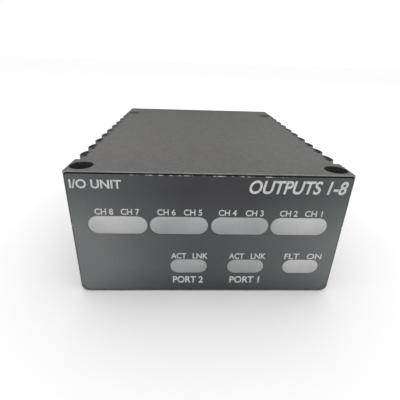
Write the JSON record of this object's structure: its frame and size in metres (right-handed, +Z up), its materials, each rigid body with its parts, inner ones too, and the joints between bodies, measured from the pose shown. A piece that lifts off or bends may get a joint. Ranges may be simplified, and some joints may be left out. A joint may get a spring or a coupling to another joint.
{
  "type": "plc module",
  "caption": "Plug-on input/output module with a ribbed two-part case, a label face of status windows, and a rear plate carrying a multi-pin plug, network sockets, supply inlet and studs.",
  "frame": {"origin": "centre of the bounding box at the base, where the module lies on its broad face", "axes": "+Z up through the broad faces, +Y from the label face to the connectors, +X to the right when facing the label"},
  "size_m": [0.0832, 0.121, 0.0419],
  "materials": {
    "case_paint": "matt grey paint, fine texture, light wear",
    "label_film": "dark grey printed film, satin",
    "dark_plastic": "moulded, matt",
    "black_plastic": "moulded, matt",
    "green_plastic": "moulded, satin",
    "lens_plastic": "milky translucent",
    "lamp_white": "clear resin",
    "board_green": "solder mask over glass fibre",
    "chip_black": "moulded resin, matt",
    "ferrite_grey": "ferrite and resin",
    "relay_white": "moulded, satin",
    "capacitor_sleeve": "bare can",
    "thermal_rubber": "soft pad",
    "heat_sink_aluminium": "black anodised",
    "plate_aluminium": "brushed, clear passivated",
    "bright_steel": "zinc plated",
    "dark_steel": "black oxide",
    "tinned_steel": "tin plated",
    "gold_contact": "gold flash",
    "brass": "knurled brass"
  },
  "bodies": {
    "root": {"base_housing": "case_paint", "case_inserts": "brass", "label_overlay": "label_film", "front_plate": "dark_plastic", "light_guide": "black_plastic", "led_board": "board_green", "status_leds": "lamp_white", "processor_board": "board_green", "output_board": "board_green", "board_standoffs": "bright_steel", "board_screws": "bright_steel", "processor_chip": "chip_black", "logic_chip": "chip_black", "memory_chips": "chip_black", "network_chips": "chip_black", "network_transformers": "black_plastic", "power_converter": "black_plastic", "power_inductors": "ferrite_grey", "converter_chip": "chip_black", "driver_chips": "chip_black", "sense_resistors": "ferrite_grey", "enable_relays": "relay_white", "filter_capacitors": "capacitor_sleeve", "thermal_pad": "thermal_rubber", "heat_sink": "heat_sink_aluminium", "led_board_header": "black_plastic", "board_connector_plug": "black_plastic", "board_connector_socket": "black_plastic", "rear_plate": "plate_aluminium", "rear_plate_screws": "dark_steel", "dsub_shell": "tinned_steel", "dsub_insulator": "black_plastic", "dsub_pins": "gold_contact", "dsub_screwlocks": "bright_steel", "jack_1_shield": "tinned_steel", "jack_1_insert": "black_plastic", "jack_1_contacts": "gold_contact", "jack_2_shield": "tinned_steel", "jack_2_insert": "black_plastic", "jack_2_contacts": "gold_contact", "power_header": "green_plastic", "power_pins": "tinned_steel", "mounting_stud_left": "bright_steel", "mounting_stud_right": "bright_steel", "channel_lens_1": "lens_plastic", "channel_lens_2": "lens_plastic", "channel_lens_3": "lens_plastic", "channel_lens_4": "lens_plastic", "port_lens_1": "lens_plastic", "port_lens_2": "lens_plastic", "port_lens_3": "lens_plastic"},
    "cover": {"top_cover": "case_paint", "case_screws": "dark_steel"},
    "washer_left": {"stud_washer_left": "bright_steel"},
    "nut_left": {"stud_nut_left": "bright_steel"},
    "washer_right": {"stud_washer_right": "bright_steel"},
    "nut_right": {"stud_nut_right": "bright_steel"}
  },
  "joints": [
    {"name": "cover_lift", "type": "slide", "parent": "root", "child": "cover", "axis": [0, 0, 1], "range_m": [0, 0.06]},
    {"name": "washer_left_slide", "type": "slide", "parent": "root", "child": "washer_left", "axis": [0, 1, 0], "range_m": [0, 0.0028]},
    {"name": "nut_left_spin", "type": "hinge", "parent": "washer_left", "child": "nut_left", "pos_m": [-0.0295, 0.056, 0.03], "axis": [0, 1, 0], "range_deg": [0, 1441]},
    {"name": "washer_right_slide", "type": "slide", "parent": "root", "child": "washer_right", "axis": [0, 1, 0], "range_m": [0, 0.0028]},
    {"name": "nut_right_spin", "type": "hinge", "parent": "washer_right", "child": "nut_right", "pos_m": [0.0295, 0.056, 0.03], "axis": [0, 1, 0], "range_deg": [0, 1441]}
  ],
  "couplings": [
    {"joint": "nut_left_spin", "follows": "washer_left_slide", "rad_per_m": 8976},
    {"joint": "nut_right_spin", "follows": "washer_right_slide", "rad_per_m": 8976}
  ]
}
